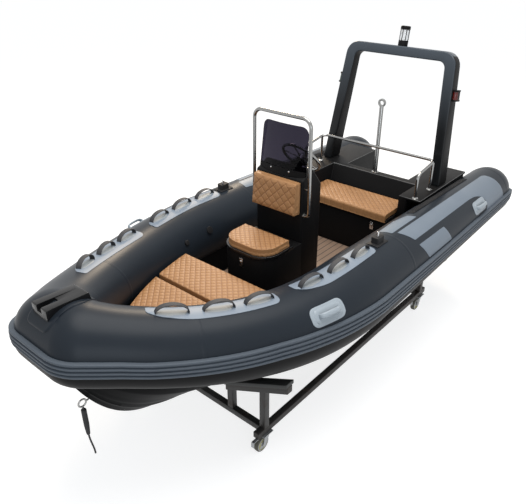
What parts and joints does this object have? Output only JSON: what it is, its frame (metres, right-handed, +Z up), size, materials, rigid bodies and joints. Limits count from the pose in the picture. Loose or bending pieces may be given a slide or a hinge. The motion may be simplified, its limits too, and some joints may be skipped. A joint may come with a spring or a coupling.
{
  "type": "rigid inflatable boat on a cradle",
  "caption": "Open rigid inflatable boat with a fibreglass V hull, side tubes, console, cushioned seats, stern arch and rail, standing on a welded cradle with castors.",
  "frame": {"origin": "on the ground under the middle of the boat", "axes": "+X towards the bow, +Y to port, +Z up"},
  "size_m": [4.69, 2.1398, 2.5083],
  "materials": {
    "hull_gelcoat": "gloss",
    "teak_decking": "satin",
    "tube_fabric": "satin",
    "strake_rubber": "satin",
    "pad_grey": "satin",
    "webbing": "woven",
    "black_rubber": "matte",
    "stainless": "polished",
    "rope": "braided",
    "tan_leather": "satin",
    "smoked_screen": "gloss",
    "arch_paint": "gloss",
    "lamp_lens": "gloss",
    "red_lens": "gloss",
    "green_lens": "gloss",
    "cradle_steel": "worn",
    "zinc_plate": "satin",
    "castor_tyre": "matte"
  },
  "bodies": {
    "boat": {"boat_hull": "hull_gelcoat", "floor_decking": "teak_decking", "bow_deck": "hull_gelcoat", "collar_bow": "tube_fabric", "collar_port": "tube_fabric", "collar_starboard": "tube_fabric", "rub_strake": "strake_rubber", "handle_pads": "pad_grey", "grab_handles": "webbing", "lifting_handles": "pad_grey", "wear_patches": "pad_grey", "step_pads": "black_rubber", "mooring_posts": "black_rubber", "air_valves": "black_rubber", "bow_chock": "black_rubber", "bow_eye": "stainless", "bow_rope": "rope", "rope_whipping": "rope", "bow_cushion_aft": "tan_leather", "bow_cushion_forward": "tan_leather", "console": "hull_gelcoat", "windscreen": "smoked_screen", "console_hoop": "stainless", "backrest_pad": "tan_leather", "helm_boss": "black_rubber", "front_locker": "hull_gelcoat", "bench_locker": "hull_gelcoat", "quarter_deck": "hull_gelcoat", "transom_board": "hull_gelcoat", "latches": "black_rubber", "stern_rail": "stainless", "tow_pole": "stainless", "arch": "arch_paint", "masthead_light": "lamp_lens", "side_light_port": "red_lens", "side_light_starboard": "green_lens", "cradle_rails": "cradle_steel", "cradle_posts": "cradle_steel", "bunk_pads": "black_rubber", "castor_plates": "zinc_plate"},
    "front_lid": {"front_lid": "hull_gelcoat", "front_cushion": "tan_leather"},
    "bench_lid": {"bench_lid": "hull_gelcoat", "bench_cushion": "tan_leather"},
    "steering_wheel": {"steering_wheel": "stainless"},
    "castor_fork_fp": {"castor_fork_fp": "zinc_plate"},
    "castor_wheel_fp": {"castor_wheel_fp": "castor_tyre"},
    "castor_fork_fs": {"castor_fork_fs": "zinc_plate"},
    "castor_wheel_fs": {"castor_wheel_fs": "castor_tyre"},
    "castor_fork_ap": {"castor_fork_ap": "zinc_plate"},
    "castor_wheel_ap": {"castor_wheel_ap": "castor_tyre"},
    "castor_fork_as": {"castor_fork_as": "zinc_plate"},
    "castor_wheel_as": {"castor_wheel_as": "castor_tyre"}
  },
  "joints": [
    {"name": "front_lid_hinge", "type": "hinge", "parent": "boat", "child": "front_lid", "pos_m": [0.336, 0, 1.1383], "axis": [0, -1, 0], "range_deg": [0, 70]},
    {"name": "bench_lid_hinge", "type": "hinge", "parent": "boat", "child": "bench_lid", "pos_m": [-1.095, 0, 1.0233], "axis": [0, -1, 0], "range_deg": [0, 60]},
    {"name": "steering", "type": "hinge", "parent": "boat", "child": "steering_wheel", "pos_m": [0.043, 0, 1.62], "axis": [-0.7754, 0, 0.6314], "range_deg": [-540, 540]},
    {"name": "castor_swivel_fp", "type": "hinge", "parent": "boat", "child": "castor_fork_fp", "pos_m": [1.15, 0.645, 0.13], "axis": [0, 0, 1], "continuous": true},
    {"name": "castor_spin_fp", "type": "hinge", "parent": "castor_fork_fp", "child": "castor_wheel_fp", "pos_m": [1.185, 0.645, 0.0625], "axis": [0, 1, 0], "continuous": true},
    {"name": "castor_swivel_fs", "type": "hinge", "parent": "boat", "child": "castor_fork_fs", "pos_m": [1.15, -0.645, 0.13], "axis": [0, 0, 1], "continuous": true},
    {"name": "castor_spin_fs", "type": "hinge", "parent": "castor_fork_fs", "child": "castor_wheel_fs", "pos_m": [1.185, -0.645, 0.0625], "axis": [0, 1, 0], "continuous": true},
    {"name": "castor_swivel_ap", "type": "hinge", "parent": "boat", "child": "castor_fork_ap", "pos_m": [-1.15, 0.645, 0.13], "axis": [0, 0, 1], "continuous": true},
    {"name": "castor_spin_ap", "type": "hinge", "parent": "castor_fork_ap", "child": "castor_wheel_ap", "pos_m": [-1.115, 0.645, 0.0625], "axis": [0, 1, 0], "continuous": true},
    {"name": "castor_swivel_as", "type": "hinge", "parent": "boat", "child": "castor_fork_as", "pos_m": [-1.15, -0.645, 0.13], "axis": [0, 0, 1], "continuous": true},
    {"name": "castor_spin_as", "type": "hinge", "parent": "castor_fork_as", "child": "castor_wheel_as", "pos_m": [-1.115, -0.645, 0.0625], "axis": [0, 1, 0], "continuous": true}
  ]
}
